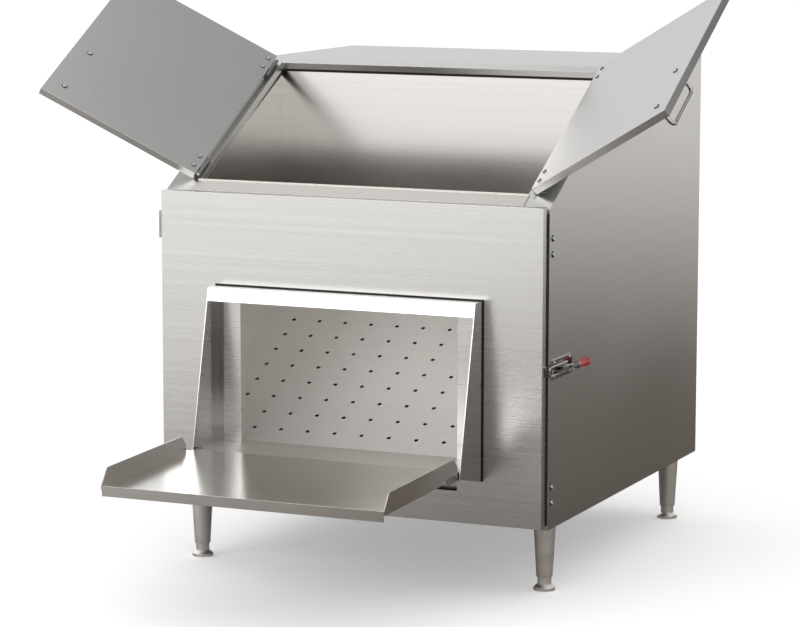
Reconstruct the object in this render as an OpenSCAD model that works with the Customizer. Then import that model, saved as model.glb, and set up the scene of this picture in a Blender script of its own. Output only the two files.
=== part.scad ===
// Free-standing chip warmer: a double-walled stainless cabinet on four legs, loaded from
// above through two side-hinged lids and emptied through a hooded door in its front panel.
// Millimetres. The origin is on the floor, under the middle of the cabinet. +Z is up,
// the front panel faces -Y and +X is to the right of someone facing it.

/* [Cabinet] */
// Width over the two side panels
cab_w = 780; // [700:10:900]
// Depth from the front frame to the back
cab_d = 856; // [820:4:960]
// Height of the underside above the floor
leg_h = 130; // [110:1:160]
// Height of the side panels at the front
front_h = 590; // [560:2:640]
// Height of the side panels at the back
top_h = 820; // [780:2:860]
// Slope of the loading face above level
slope_deg = 29.5; // [26:0.5:33]
// Thickness of the outer sheet
sheet_t = 1.5; // [1:0.1:2]
// Width of the returns bent in along the edges of the sheets
return_w = 20; // [14:1:28]

/* [Hopper] */
// Thickness of the insulated side walls, from the outer face to the liner
wall_t = 50; // [44:1:60]
// Thickness of the liner sheet
liner_t = 1.2; // [0.8:0.1:1.6]
// Height of the bottom rail of the front frame
bottom_rail_h = 50; // [40:1:60]
// Height of the top rail of the front frame
top_rail_h = 46; // [40:1:56]
// Height of the floor's front edge above the underside
floor_front_h = 121; // [115:1:128]
// Height of the floor's back edge above the underside
floor_back_h = 345; // [300:5:380]
// Radius of the holes in the floor
floor_hole_r = 4; // [3:0.5:5]

/* [Loading opening] */
// Distance up the slope from the front corner to the opening
open_start = 45; // [42:1:60]
// Length of the opening along the slope
open_len = 405; // [380:1:415]
// Distance from the side panel's outer face to the opening
open_side = 56; // [54:1:70]
// Depth of the lip bent down round the opening
open_lip = 14; // [8:1:20]
// Width of the sill strip in front of the lids
sill_w = 34; // [26:1:38]

/* [Lids] */
// Width of a lid from its hinge side to its free edge
lid_w = 336.4; // [300:0.2:340]
// Length of a lid along the slope
lid_len = 412; // [390:1:418]
// Distance up the slope from the front corner to the lids
lid_start = 42; // [40:1:46]
// Thickness of a lid
lid_t = 14; // [12:0.5:16]
// Thickness of the lid sheets
lid_sheet = 1.2; // [0.8:0.1:1.5]
// Angle that the lids stand open
lid_open_deg = 147; // [120:1:150]
// Distance from the side panel's outer face to the lid hinge axis
lid_axis_side = 48.5; // [46:0.5:60]
// Height of the lid hinge axis above the slope
lid_axis_h = 6.5; // [6.5:0.1:8]
// Gap under a closed lid
lid_under_gap = 1.5; // [1:0.1:2]
// Distance from the hinge axis to the edge of the lid's inner sheet
lid_edge_off = 4; // [3.8:0.1:5]
// Bar diameter of a lid handle
lid_handle_bar = 8; // [6:0.5:10]
// Distance between the centres of a lid handle's legs
lid_handle_span = 115; // [90:1:140]
// Height of a lid handle off the lid
lid_handle_h = 38; // [30:1:48]
// Distance from a lid's front end to the first leg of its handle
lid_handle_start = 38; // [30:1:80]
// Distance from a lid's free edge to its handle
lid_handle_edge = 34; // [20:1:60]

/* [Lid hinges] */
// Outer radius of a lid hinge barrel
lid_barrel_r = 3.5; // [3:0.1:3.8]
// Radius of a lid hinge pin
lid_pin_r = 1.8; // [1.4:0.1:2.2]
// Length of a lid hinge
lid_hinge_len = 50; // [40:1:60]
// Width of a lid hinge leaf
lid_leaf_w = 22; // [18:1:26]
// Thickness of a hinge leaf
leaf_t = 1.2; // [1:0.1:1.2]
// Distance from a lid's end to its nearest hinge
lid_hinge_end = 9; // [5:1:40]

/* [Front panel] */
// Width of the front panel
panel_w = 773; // [690:0.2:776]
// Height of the front panel
panel_h = 588; // [560:1:640]
// Height of the front panel above the underside of the cabinet
panel_up = 6; // [2:1:10]
// Depth of the front panel
panel_d = 21; // [18:0.5:30]
// Thickness of the gasket behind the front panel
gasket_t = 2.7; // [2:0.1:5]
// Width of the gasket
gasket_w = 16; // [12:1:24]
// Gap between the gasket and the front frame
gasket_gap = 0.3; // [0.3:0.1:0.6]
// Half the width of the discharge opening
discharge_half = 221; // [200:1:240]
// Height of the discharge opening's lower edge above the underside of the cabinet
discharge_low = 65; // [60:1:75]
// Height of the discharge opening's upper edge above the underside of the cabinet
discharge_high = 395; // [370:1:400]

/* [Door hinges] */
// Outer radius of a door hinge barrel
door_barrel_r = 5; // [4:0.1:5.5]
// Radius of a door hinge pin
door_pin_r = 2.5; // [2:0.1:3]
// Distance from the side panel to the door hinges' axis
door_axis_side = 6; // [1:0.5:6.5]
// Height of a door hinge
door_hinge_h = 48; // [40:1:60]
// Width of the leaf on the cabinet
door_leaf_w = 28; // [24:1:36]
// Height of the upper hinge's middle above the underside of the cabinet
door_hinge_high = 527.5; // [480:0.5:530]
// Height of the lower hinge's middle above the underside of the cabinet
door_hinge_low = 70; // [50:0.5:90]

/* [Hood] */
// Width of the hood
hood_w = 541.4; // [500:1:560]
// Height of the hood's top above the underside of the cabinet
hood_high = 420; // [405:0.5:430]
// Height of the hood's lower back edge above the underside of the cabinet
hood_low = 86; // [80:0.5:95]
// Depth of the hood at its top
hood_top_d = 36; // [30:1:50]
// Depth of the hood at its bottom
hood_low_d = 107; // [95:1:120]
// Rise of the hood's lower edge from back to front
hood_rise = 24; // [18:0.5:30]
// Height of the bar across the top of the hood's front
hood_bar_h = 26; // [20:1:34]
// Gap between the chute floor and the rear edge of the turning tray
chute_gap = 0.6; // [0.4:0.1:2]

/* [Tray] */
// Width of the tray over its wings
tray_w = 548; // [506:0.2:566]
// Length of the tray
tray_len = 337; // [320:1:350]
// Height of the tray's wings
wing_h = 29; // [24:1:32]
// Height of the lip along the tray's front edge
lip_h = 19; // [14:1:26]
// Slope of the open tray towards its front edge
tray_tilt = 1.4; // [0:0.1:3]
// Height of the tray's floor above its pins
tray_over_pin = 8; // [7:0.5:10]
// Distance that the tray's floor reaches back past its pins
tray_behind_pin = 4; // [2:0.5:5]
// Distance from the hood's front edges to the pins
pin_forward = 9.5; // [9.5:0.5:14]
// Length of the wings' rear part that is cut level with the floor
wing_notch = 68; // [50:1:90]
// Depth that the wings reach below the floor in front of that part
wing_drop = 6.5; // [4:0.5:10]
// Radius of the tray pins
tray_pin_r = 3; // [2.5:0.1:4]
// Thickness of the pivot ears
ear_t = 3; // [2:0.5:4]
// Distance between the hood's sides and the ears
ear_in = 3.5; // [3:0.5:6]
// Length that the pivot ears reach in front of the pins
ear_front = 40; // [30:1:50]
// Length that the pivot ears reach behind the pins
ear_rear = 35; // [30:1:45]
// Depth of the pivot ears below the pins
ear_low = 11; // [9:0.5:14]
// Gap between the tray's lugs and the ears
lug_gap = 1; // [0.5:0.1:2]
// Gap between the open tray's floor and the ears that it rests on
rest_gap = 0.3; // [0.3:0.1:0.6]

/* [Latch] */
// Height of the latch above the underside of the cabinet
latch_up = 295; // [260:1:320]
// Length of the latch base
latch_base_len = 100; // [90:1:120]
// Height of the latch base
latch_base_h = 36; // [34:1:42]
// Thickness of the latch base
latch_base_t = 2.5; // [2:0.1:3]
// Distance from the front edge of the side panel to the latch base
latch_start = 13; // [10:1:20]
// Distance from the front edge of the side panel to the handle's pivot
latch_pivot_y = 50; // [44:1:60]
// Distance from the side panel to the handle's pivot
latch_pivot_out = 11; // [11:0.5:14]
// Distance from the handle's pivot to the hook's pivot along the handle
hook_pivot_back = 22; // [18:1:26]
// Distance that the hook's pivot lies inside the handle's pivot
hook_pivot_in = 4.5; // [3.5:0.1:4.5]
// Diameter of the hook's bar
hook_bar = 4; // [3.5:0.1:4]
// Distance between the hook's two rods
hook_span = 16; // [16:0.5:22]
// Thickness of the handle's arm
latch_arm_h = 6; // [5:0.5:6]
// Gap between the hook's bar and the keeper's lip
hook_gap = 0.8; // [0.8:0.1:1.2]
// Distance that the grip stands out from the handle's pivot
grip_out = 9; // [6:0.5:14]
// Length of the handle from its pivot to its end
latch_handle_len = 92; // [86:1:120]
// Length of the grip
grip_len = 46; // [40:1:50]

/* [Legs] */
// Radius of a leg at its top
leg_top_r = 20.5; // [18:0.5:24]
// Radius of a leg at its lower end
leg_low_r = 15.2; // [14:0.2:18]
// Height of the lower end of a leg above the floor
leg_low_z = 27; // [24:1:32]
// Radius of a foot
foot_r = 20.4; // [18:0.2:24]
// Distance from the side panels to the legs' middles
leg_in_x = 34; // [34:1:80]
// Distance from the front and the back to the legs' middles
leg_in_y = 76; // [40:1:120]

/* [Back] */
// Width of the control plate
control_w = 150; // [120:2:200]
// Height of the control plate
control_h = 90; // [80:2:120]
// Radius of the thermostat knob
knob_r = 17; // [14:0.5:20]
// Number of rows of vent slots in the back
vent_rows = 6; // [3:1:9]

/* [Hidden] */
$fn = 48;
crease_gap = 16;
x_out = cab_w / 2;
y_front = -cab_d / 2;
y_back = cab_d / 2;
z_bot = leg_h;
z_front = leg_h + front_h;
z_top = max(leg_h + top_h,
            z_front + (open_start + open_len + crease_gap) * sin(slope_deg));
sheet_drop = sheet_t / cos(slope_deg);

// Inside of the hopper
x_liner = x_out - wall_t;
frame_low = z_bot + bottom_rail_h;
frame_high = z_front - sheet_drop - top_rail_h;
open_half = x_out - open_side;
open_back_y = y_front + (open_start + open_len) * cos(slope_deg);
baffle_y = open_back_y + 12;
floor_front_z = z_bot + floor_front_h;
floor_back_z = z_bot + floor_back_h;
floor_front_y = y_front + 3 * sheet_t;
floor_run = baffle_y - floor_front_y;
floor_deg = atan((floor_back_z - floor_front_z) / floor_run);

// Lids
lid_axis_x = x_out - lid_axis_side;
lid_low = lid_under_gap - lid_axis_h;
lid_high = lid_low + lid_t;
lid_outer_off = lid_edge_off + 1;
lid_screw_x = lid_edge_off + 12;
lid_handle_x = lid_edge_off + lid_w - lid_handle_edge;
lid_hinge_at = [lid_hinge_end, lid_len - lid_hinge_end - lid_hinge_len];
knuckle_gap = 0.4;
pin_fit = 0.05;
screw_pitch = 29;

// Front panel and what hangs on it
panel_y = y_front - gasket_gap - gasket_t - panel_d;
panel_z = z_bot + panel_up;
door_axis_x = -x_out - door_axis_side;
door_axis_y = y_front - door_barrel_r - 1;
hood_half = hood_w / 2;
hood_top_z = z_bot + hood_high;
hood_low_z = z_bot + hood_low;
hood_lean = atan((hood_low_d - hood_top_d) / (hood_top_z - hood_low_z - hood_rise));
hood_corner = [-hood_low_d, hood_low_z + hood_rise];
pin_up = 5;
tray_pin = [hood_corner[0] - pin_forward * cos(hood_lean) + pin_up * sin(hood_lean),
            hood_corner[1] + pin_forward * sin(hood_lean) + pin_up * cos(hood_lean)];
tray_half = tray_w / 2;
chute_up = tray_over_pin - 2;
chute_clear = max(norm([tray_behind_pin, tray_over_pin]),
                  (tray_over_pin + chute_up * sin(hood_lean)) / cos(hood_lean));
chute_y = tray_pin[0] + chute_clear + chute_gap;
chute_z = tray_pin[1] + chute_up;
ear_x = hood_half - sheet_t - ear_in - ear_t;
lug_x = ear_x - lug_gap - sheet_t;
lug_r = 8;

// Latch
latch_z = z_bot + latch_up;
latch_axis = [x_out + latch_pivot_out, y_front + latch_pivot_y];
hook_axis = [latch_axis[0] - hook_pivot_in, latch_axis[1] + hook_pivot_back];
keeper_x = panel_w / 2;
keeper_t = 2;
keeper_lip_y = y_front - 8;
keeper_h = 20;
hook_bar_y = keeper_lip_y - hook_gap - hook_bar / 2;
hook_trunnion_r = hook_bar / 2 - 0.3;
latch_lug_t = 1.5;
latch_lug_gap = 0.3;

// Back
control_x = x_out - 130;
control_z = z_bot + 110;

// Height of the slope's surface at a distance y from front to back
function slope_z(y) = z_front + (y - y_front) * tan(slope_deg);

// Outline of the cabinet's side in (y, z), drawn in by f, b, k and t at its front, bottom,
// back and top
function side_profile(f, b, k, t) = [
    [y_front + f, z_bot + b],
    [y_back - k, z_bot + b],
    [y_back - k, z_top - t],
    [y_front + (z_top - t - z_front + t / cos(slope_deg)) / tan(slope_deg), z_top - t],
    [y_front + f, slope_z(y_front + f) - t / cos(slope_deg)]
];

// Extrudes an outline drawn in (y, z) from x0 to x1
module along_x(x0, x1) {
    translate([x0, 0, 0]) rotate([90, 0, 90]) linear_extrude(x1 - x0) children();
}

// Box between two corners
module block(a, b) {
    translate(a) cube(b - a);
}

// Moves its children to the slope: x stays, y runs up the slope and z stands on it
module on_slope() {
    translate([0, y_front, z_front]) rotate([slope_deg, 0, 0]) children();
}

module side_panel(colour) {
    color(colour) {
        along_x(x_out - sheet_t, x_out) polygon(side_profile(0, 0, 0, sheet_t));
        along_x(x_out - return_w, x_out - sheet_t) difference() {
            polygon(side_profile(sheet_t, 0, 0, sheet_t));
            polygon(side_profile(-1, sheet_t, sheet_t, 2 * sheet_t));
        }
    }
}

module side_panel_left() {
    mirror([1, 0, 0]) side_panel("silver");
}

module side_panel_right() {
    side_panel("silver");
}

module back_panel() {
    vent_w = 120;
    vent_h = 6;
    low = z_bot + 2 * sheet_t;
    color("silver") difference() {
        block([-x_out + sheet_t, y_back - 2 * sheet_t, low],
              [x_out - sheet_t, y_back - sheet_t, z_top - 2 * sheet_t]);
        for (side = [-1, 1], row = [0 : vent_rows - 1])
            translate([side * cab_w / 5, y_back, z_top - 160 + row * 16])
                cube([vent_w, 20, vent_h], center = true);
        block([control_x - control_w / 2 + 12, y_back - 10, control_z - control_h / 2 + 12],
              [control_x + control_w / 2 - 12, y_back, control_z + control_h / 2 - 12]);
        translate([control_x - control_w, y_back, control_z]) rotate([90, 0, 0])
            cylinder(r = 11, h = 20, center = true);
    }
}

module base_pan() {
    color("darkgray") difference() {
        block([-x_out + sheet_t, y_front + sheet_t, z_bot + sheet_t],
              [x_out - sheet_t, y_back - sheet_t, z_bot + 2 * sheet_t]);
        for (row = [-1 : 1])
            translate([row * 90, y_back - 200, z_bot]) cylinder(r = 30, h = 20);
    }
}

// Plateau, crease and loading face, bent from one sheet, with a lip round the opening
module top_cover() {
    color("silver") {
        difference() {
            along_x(-x_out, x_out) difference() {
                polygon(side_profile(0, 0, 0, 0));
                polygon(side_profile(-1, -1, -1, sheet_t));
            }
            on_slope() block([-open_half, open_start, -20], [open_half, open_start + open_len, 20]);
        }
        block([-x_out + return_w, y_back - sheet_t, z_top - sheet_t - return_w],
              [x_out - return_w, y_back, z_top - sheet_t]);
        on_slope() difference() {
            block([-open_half - sheet_t, open_start - sheet_t, -open_lip],
                  [open_half + sheet_t, open_start + open_len + sheet_t, -sheet_t]);
            block([-open_half, open_start, -open_lip - 1],
                  [open_half, open_start + open_len, 0]);
        }
    }
}

// Black strip between the opening's upper lip and the hopper's inner back wall
module thermal_break() {
    color("dimgray") on_slope()
        block([-open_half, open_start + open_len, -open_lip - 6],
              [open_half, open_start + open_len + 4 * sheet_t, -open_lip]);
}

module front_sill() {
    sill_half = open_half + 3;
    sill_start = lid_start - 2 - sill_w;
    color("gainsboro") on_slope() {
        block([-sill_half, sill_start, 0], [sill_half, sill_start + sill_w, sheet_t]);
        block([-sill_half, sill_start + sill_w - sheet_t, sheet_t],
              [sill_half, sill_start + sill_w, 2.5 * sheet_t]);
    }
}

module front_frame() {
    inner = x_liner - 2;
    color("gray") difference() {
        block([-x_out + sheet_t, y_front, z_bot + 2 * sheet_t],
              [x_out - sheet_t, y_front + sheet_t, z_front - sheet_drop]);
        block([-inner, y_front - 1, frame_low], [inner, y_front + 5, frame_high]);
    }
}

// Side walls and front rail of the hopper
module hopper_liner() {
    front = y_front + sheet_t;
    color("lightgray") {
        for (side = [0, 1]) mirror([side, 0, 0]) {
            along_x(x_liner, x_liner + liner_t) polygon([
                [front, frame_low - 10],
                [baffle_y + 30, frame_low - 10],
                [baffle_y + 30, slope_z(baffle_y) - 2 * sheet_drop - open_lip],
                [front, slope_z(front) - 2 * sheet_drop - 8]
            ]);
            block([x_liner + liner_t, front, frame_low - 10],
                  [x_liner + 14, front + liner_t, frame_high + 10]);
        }
        block([-x_liner, front, frame_high],
              [x_liner, front + liner_t, slope_z(front) - 2 * sheet_drop - 8]);
    }
}

// Perforated floor that slopes down to the discharge opening, with an apron at its foot
module hopper_floor() {
    long = floor_run / cos(floor_deg);
    pitch_x = 56;
    pitch_y = 48;
    across = floor(x_liner / pitch_x) - 1;
    along = floor((long - 60) / pitch_y);
    drop = liner_t / cos(floor_deg);
    color("silver") difference() {
        along_x(-x_liner, x_liner) polygon([
            [floor_front_y, floor_front_z],
            [floor_front_y, floor_front_z - 24],
            [floor_front_y + liner_t, floor_front_z - 24],
            [floor_front_y + liner_t, floor_front_z + liner_t * tan(floor_deg) - drop],
            [baffle_y, floor_back_z - drop],
            [baffle_y, floor_back_z]
        ]);
        translate([0, floor_front_y, floor_front_z]) rotate([floor_deg, 0, 0])
            for (column = [-across : across], row = [0 : along])
                translate([column * pitch_x, 40 + row * pitch_y, -8])
                    cylinder(r = floor_hole_r, h = 16);
    }
}

// Inner back wall, with rows of air slots over the floor
module rear_baffle() {
    top = slope_z(open_back_y) - 2 * sheet_drop - open_lip;
    slot_pitch = 60;
    slots = floor(x_liner / slot_pitch) - 1;
    color("lightgray") difference() {
        union() {
            block([-x_liner, baffle_y, floor_back_z - 60], [x_liner, baffle_y + liner_t, top]);
            block([-x_liner, baffle_y, top], [x_liner, baffle_y + 28, top + liner_t]);
        }
        for (column = [-slots : slots], row = [0 : 2])
            translate([column * slot_pitch, baffle_y, floor_back_z + 50 + row * 34])
                cube([34, 20, 7], center = true);
    }
}

// Sheet channel behind the baffle that leads warm air from the blower to the slots
module heater_duct() {
    half = x_liner - 60;
    low = floor_back_z + 20;
    high = floor_back_z + 170;
    deep = 90;
    color("darkgray") difference() {
        block([-half, baffle_y + liner_t, low], [half, baffle_y + deep, high]);
        block([-half + liner_t, baffle_y - 1, low + liner_t],
              [half - liner_t, baffle_y + deep - liner_t, high - liner_t]);
        translate([0, baffle_y + deep, (low + high) / 2]) cube([90, 10, 70], center = true);
    }
}

// Tubular element bent in a long hairpin, inside the duct
module heating_element() {
    tube_r = 4.5;
    bend_r = 24;
    half = x_liner - 120;
    mid_y = baffle_y + 44;
    mid_z = floor_back_z + 95;
    tail = mid_y - baffle_y;
    color("dimgray") translate([0, mid_y, mid_z]) {
        for (z = [-bend_r, bend_r])
            translate([-half, 0, z]) rotate([0, 90, 0]) cylinder(r = tube_r, h = 2 * half);
        translate([half, 0, 0]) rotate([90, 0, 0]) rotate([0, 0, -90])
            rotate_extrude(angle = 180) translate([bend_r, 0]) circle(r = tube_r);
        for (z = [-bend_r, bend_r]) {
            translate([-half, 0, z]) sphere(r = tube_r);
            translate([-half, 0, z]) rotate([-90, 0, 0])
                cylinder(r = tube_r, h = 90 - tail - liner_t);
        }
    }
}

// Blower scroll with its outlet on the duct
module blower() {
    low = floor_back_z + 95;
    back = baffle_y + 90;
    color("dimgray") {
        translate([-40, back + 90, low - 10]) rotate([0, 90, 0]) cylinder(r = 75, h = 80);
        block([-40, back, low - 32], [40, back + 80, low + 32]);
        translate([40, back + 90, low - 10]) rotate([0, 90, 0]) cylinder(r = 42, h = 70);
        block([-30, back + 80, z_bot + 2 * sheet_t], [30, back + 100, low - 60]);
    }
}

// Barrel pieces of a hinge along +Y, from the list of its stretches
module knuckles(r, pin_r, stretches) {
    for (s = stretches)
        translate([0, s[0], 0]) rotate([-90, 0, 0]) difference() {
            cylinder(r = r, h = s[1] - s[0]);
            translate([0, 0, -1]) cylinder(r = pin_r + pin_fit, h = s[1] - s[0] + 2);
        }
}

function outer_knuckles(len) = [[0, len * 0.3], [len * 0.7, len]];
function middle_knuckle(len) = [[len * 0.3 + knuckle_gap, len * 0.7 - knuckle_gap]];

// Moves its children to the left lid's hinge axis: x runs inward, y up the slope
module at_lid_axis() {
    on_slope() translate([-lid_axis_x, lid_start, lid_axis_h]) children();
}

// Moves its children to the open left lid
module at_open_lid() {
    at_lid_axis() rotate([0, -lid_open_deg, 0]) children();
}

module lid_fixed_leaves() {
    color("gainsboro") at_lid_axis() for (start = lid_hinge_at) translate([0, start, 0])
        difference() {
            union() {
                for (s = outer_knuckles(lid_hinge_len))
                    block([-lid_barrel_r, s[0], -lid_axis_h], [-1, s[1], -1]);
                block([-lid_leaf_w, 0, -lid_axis_h], [-1, lid_hinge_len, -lid_axis_h + leaf_t]);
                translate([0, 0, 0]) rotate([-90, 0, 0])
                    for (s = outer_knuckles(lid_hinge_len))
                        translate([0, 0, s[0]]) cylinder(r = lid_barrel_r, h = s[1] - s[0]);
            }
            translate([0, -1, 0]) rotate([-90, 0, 0])
                cylinder(r = lid_pin_r + pin_fit, h = lid_hinge_len + 2);
        }
}

module lid_pins() {
    color("gainsboro") at_lid_axis() for (start = lid_hinge_at)
        translate([0, start, 0]) rotate([-90, 0, 0]) {
            cylinder(r = lid_pin_r, h = lid_hinge_len);
            for (z = [-1.5, lid_hinge_len]) translate([0, 0, z])
                cylinder(r = lid_barrel_r - 0.3, h = 1.5);
        }
}

// Moving leaves, held between the lid's two skins
module lid_leaves() {
    leaf_z = lid_low + lid_sheet;
    s = middle_knuckle(lid_hinge_len)[0];
    color("gainsboro") at_open_lid() for (start = lid_hinge_at) translate([0, start, 0])
        difference() {
            union() {
                block([lid_outer_off + lid_sheet + 0.3, 2, leaf_z],
                      [lid_edge_off + lid_leaf_w + 4, lid_hinge_len - 2, leaf_z + leaf_t]);
                block([1, s[0], leaf_z], [lid_outer_off + 4, s[1], leaf_z + leaf_t]);
                translate([0, s[0], 0]) rotate([-90, 0, 0])
                    cylinder(r = lid_barrel_r, h = s[1] - s[0]);
            }
            translate([0, -1, 0]) rotate([-90, 0, 0])
                cylinder(r = lid_pin_r + pin_fit, h = lid_hinge_len + 2);
            for (place = [0, 1])
                translate([lid_screw_x, lid_hinge_len / 2 + (place - 0.5) * screw_pitch, -20])
                    cylinder(r = 2, h = 40);
        }
}

// Outer skin of a lid: a shallow pan with its sides bent down
module lid_outer() {
    far = lid_edge_off + lid_w;
    color("silver") at_open_lid() difference() {
        block([lid_outer_off, 0, lid_low], [far, lid_len, lid_high]);
        block([lid_outer_off + lid_sheet, lid_sheet, lid_low - 1],
              [far - lid_sheet, lid_len - lid_sheet, lid_high - lid_sheet]);
        block([lid_outer_off - 1, -1, lid_low - 1],
              [lid_outer_off + lid_sheet + 0.1, lid_len + 1, lid_low + lid_sheet]);
        for (start = lid_hinge_at)
            block([lid_outer_off - 1, start + 1, lid_low - 1],
                  [lid_outer_off + 2, start + lid_hinge_len - 1, lid_low + lid_sheet + leaf_t + 2]);
    }
}

// Inner skin of a lid, flush with the rim of the outer one
module lid_inner() {
    far = lid_edge_off + lid_w - lid_sheet;
    color("gainsboro") at_open_lid() {
        difference() {
            block([lid_edge_off, lid_sheet, lid_low], [far, lid_len - lid_sheet, lid_low + lid_sheet]);
            for (start = lid_hinge_at, place = [0, 1])
                translate([lid_screw_x, start + lid_hinge_len / 2 + (place - 0.5) * screw_pitch,
                           lid_low - 1]) cylinder(r = 2, h = 5);
            for (place = [0, 1])
                translate([lid_handle_x, lid_handle_start + place * lid_handle_span, lid_low - 1])
                    cylinder(r = 2.5, h = 5);
        }
        block([far - lid_sheet, lid_sheet, lid_low + lid_sheet],
              [far, lid_len - lid_sheet, lid_high - lid_sheet]);
    }
}

// Wire pull: two legs and a bar with rounded corners
module lid_handle() {
    r = lid_handle_bar / 2;
    bend = 12;
    span = lid_handle_span;
    rise = lid_handle_h - r;
    color("gainsboro") at_open_lid() translate([lid_handle_x, lid_handle_start, lid_high]) {
        for (y = [0, span]) translate([0, y, 0]) cylinder(r = r, h = rise - bend);
        translate([0, bend, rise]) rotate([-90, 0, 0]) cylinder(r = r, h = span - 2 * bend);
        translate([0, bend, rise - bend]) rotate([90, 0, -90]) rotate_extrude(angle = 90)
            translate([bend, 0]) circle(r = r);
        translate([0, span - bend, rise - bend]) rotate([90, 0, 90]) rotate_extrude(angle = 90)
            translate([bend, 0]) circle(r = r);
    }
}

module round_head(r, h) {
    cylinder(r1 = r, r2 = r * 0.62, h = h);
}

module lid_screws() {
    shank = lid_sheet + leaf_t;
    color("white") at_open_lid() {
        for (start = lid_hinge_at, place = [0, 1])
            translate([lid_screw_x, start + lid_hinge_len / 2 + (place - 0.5) * screw_pitch,
                       lid_low]) {
                mirror([0, 0, 1]) round_head(4, 2.2);
                cylinder(r = 2, h = shank + 1);
            }
        for (place = [0, 1])
            translate([lid_handle_x, lid_handle_start + place * lid_handle_span, lid_low]) {
                mirror([0, 0, 1]) round_head(5, 2.8);
                cylinder(r = 2.5, h = lid_t - lid_sheet);
            }
    }
}

// Front panel: a pan with its returns towards the cabinet
module front_panel() {
    low = panel_z;
    high = panel_z + panel_h;
    half = panel_w / 2;
    back = panel_y + panel_d;
    color("silver") difference() {
        block([-half, panel_y, low], [half, back, high]);
        block([-half + sheet_t, panel_y + sheet_t, low + sheet_t],
              [half - sheet_t, back + 1, high - sheet_t]);
        block([-discharge_half, panel_y - 1, z_bot + discharge_low],
              [discharge_half, panel_y + 5, z_bot + discharge_high]);
    }
}

// Inner face of the front panel, with a collar round the discharge opening
module panel_liner() {
    low = panel_z + sheet_t;
    high = panel_z + panel_h - sheet_t;
    half = panel_w / 2 - sheet_t;
    back = panel_y + panel_d;
    mouth_low = chute_z - liner_t;
    mouth_high = z_bot + discharge_high;
    color("lightgray") difference() {
        union() {
            block([-half, back - liner_t, low], [half, back, high]);
            block([-discharge_half - liner_t, panel_y + sheet_t, mouth_low - liner_t],
                  [discharge_half + liner_t, back, mouth_high + liner_t]);
        }
        block([-discharge_half, panel_y, mouth_low], [discharge_half, back + 1, mouth_high]);
    }
}

module door_gasket() {
    edge = 1;
    low = panel_z + edge;
    high = min(panel_z + panel_h, z_front) - edge - 3;
    half = panel_w / 2 - edge;
    back = panel_y + panel_d;
    color("dimgray") difference() {
        block([-half, back, low], [half, back + gasket_t, high]);
        block([-half + gasket_w, back - 1, low + gasket_w],
              [half - gasket_w, back + gasket_t + 1, high - gasket_w]);
    }
}

// Moves its children to the face of the front panel: y runs back from it
module on_panel() {
    translate([0, panel_y, 0]) children();
}

// Outline of the hood's side in (y, z) from the panel's face
function hood_profile() = [
    [0, hood_top_z], [-hood_top_d, hood_top_z], hood_corner, [0, hood_low_z]
];

module hood() {
    inner = hood_half - sheet_t;
    along = [-sin(hood_lean), -cos(hood_lean)];
    inward = [cos(hood_lean), -sin(hood_lean)];
    front_top = [-hood_top_d, hood_top_z];
    color("lightgray") on_panel() {
        for (side = [0, 1]) mirror([side, 0, 0]) {
            along_x(inner, hood_half) polygon(hood_profile());
            block([inner - 14, -sheet_t, hood_low_z + sheet_t], [inner, 0, hood_top_z - sheet_t]);
        }
        block([-inner, -hood_top_d, hood_top_z - sheet_t], [inner, 0, hood_top_z]);
        along_x(-inner, inner) polygon([
            front_top,
            front_top + along * hood_bar_h,
            front_top + along * hood_bar_h + inward * sheet_t,
            front_top + inward * sheet_t
        ]);
    }
}

// Floor of the chute from the hopper to the tray, cut back round the pivot ears
module chute_floor() {
    inner = hood_half - sheet_t;
    narrow = lug_x - 2;
    notch_y = tray_pin[0] + ear_rear + 3;
    back = panel_d - liner_t;
    color("lightgray") on_panel() {
        block([-narrow, chute_y, chute_z - liner_t], [narrow, notch_y + 1, chute_z]);
        block([-inner, notch_y, chute_z - liner_t], [inner, -sheet_t, chute_z]);
        block([-discharge_half, -sheet_t - 1, chute_z - liner_t], [discharge_half, back, chute_z]);
        block([-narrow, chute_y, chute_z - 12], [narrow, chute_y + liner_t, chute_z]);
    }
}

// Ear inside the hood's side that carries a tray pin, and on which the open tray rests
module pivot_ear() {
    top = (tray_over_pin - sheet_t) / cos(tray_tilt) - rest_gap;
    color("lightgray") on_panel() translate([0, tray_pin[0], tray_pin[1]]) difference() {
        union() {
            along_x(ear_x, ear_x + ear_t) polygon([
                [ear_rear, -ear_low],
                [ear_rear, top],
                [0, top],
                [-ear_front, top - ear_front * tan(tray_tilt)],
                [-ear_front, -ear_low]
            ]);
            along_x(ear_x + ear_t, hood_half - sheet_t)
                translate([ear_rear - 7, 0]) circle(r = 4);
        }
        along_x(ear_x - 1, ear_x + ear_t + 1) circle(r = tray_pin_r + pin_fit);
    }
}

module pivot_ear_left() {
    mirror([1, 0, 0]) pivot_ear();
}

module pivot_ear_right() {
    pivot_ear();
}

module tray_pins() {
    color("gainsboro") on_panel() for (side = [0, 1]) mirror([side, 0, 0])
        translate([0, tray_pin[0], tray_pin[1]]) {
            along_x(lug_x - 0.3, ear_x + ear_t + 2) circle(r = tray_pin_r);
            along_x(lug_x - 2, lug_x - 0.3) circle(r = 4.5);
            along_x(ear_x + ear_t, ear_x + ear_t + 2) circle(r = 4.5);
        }
}

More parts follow.
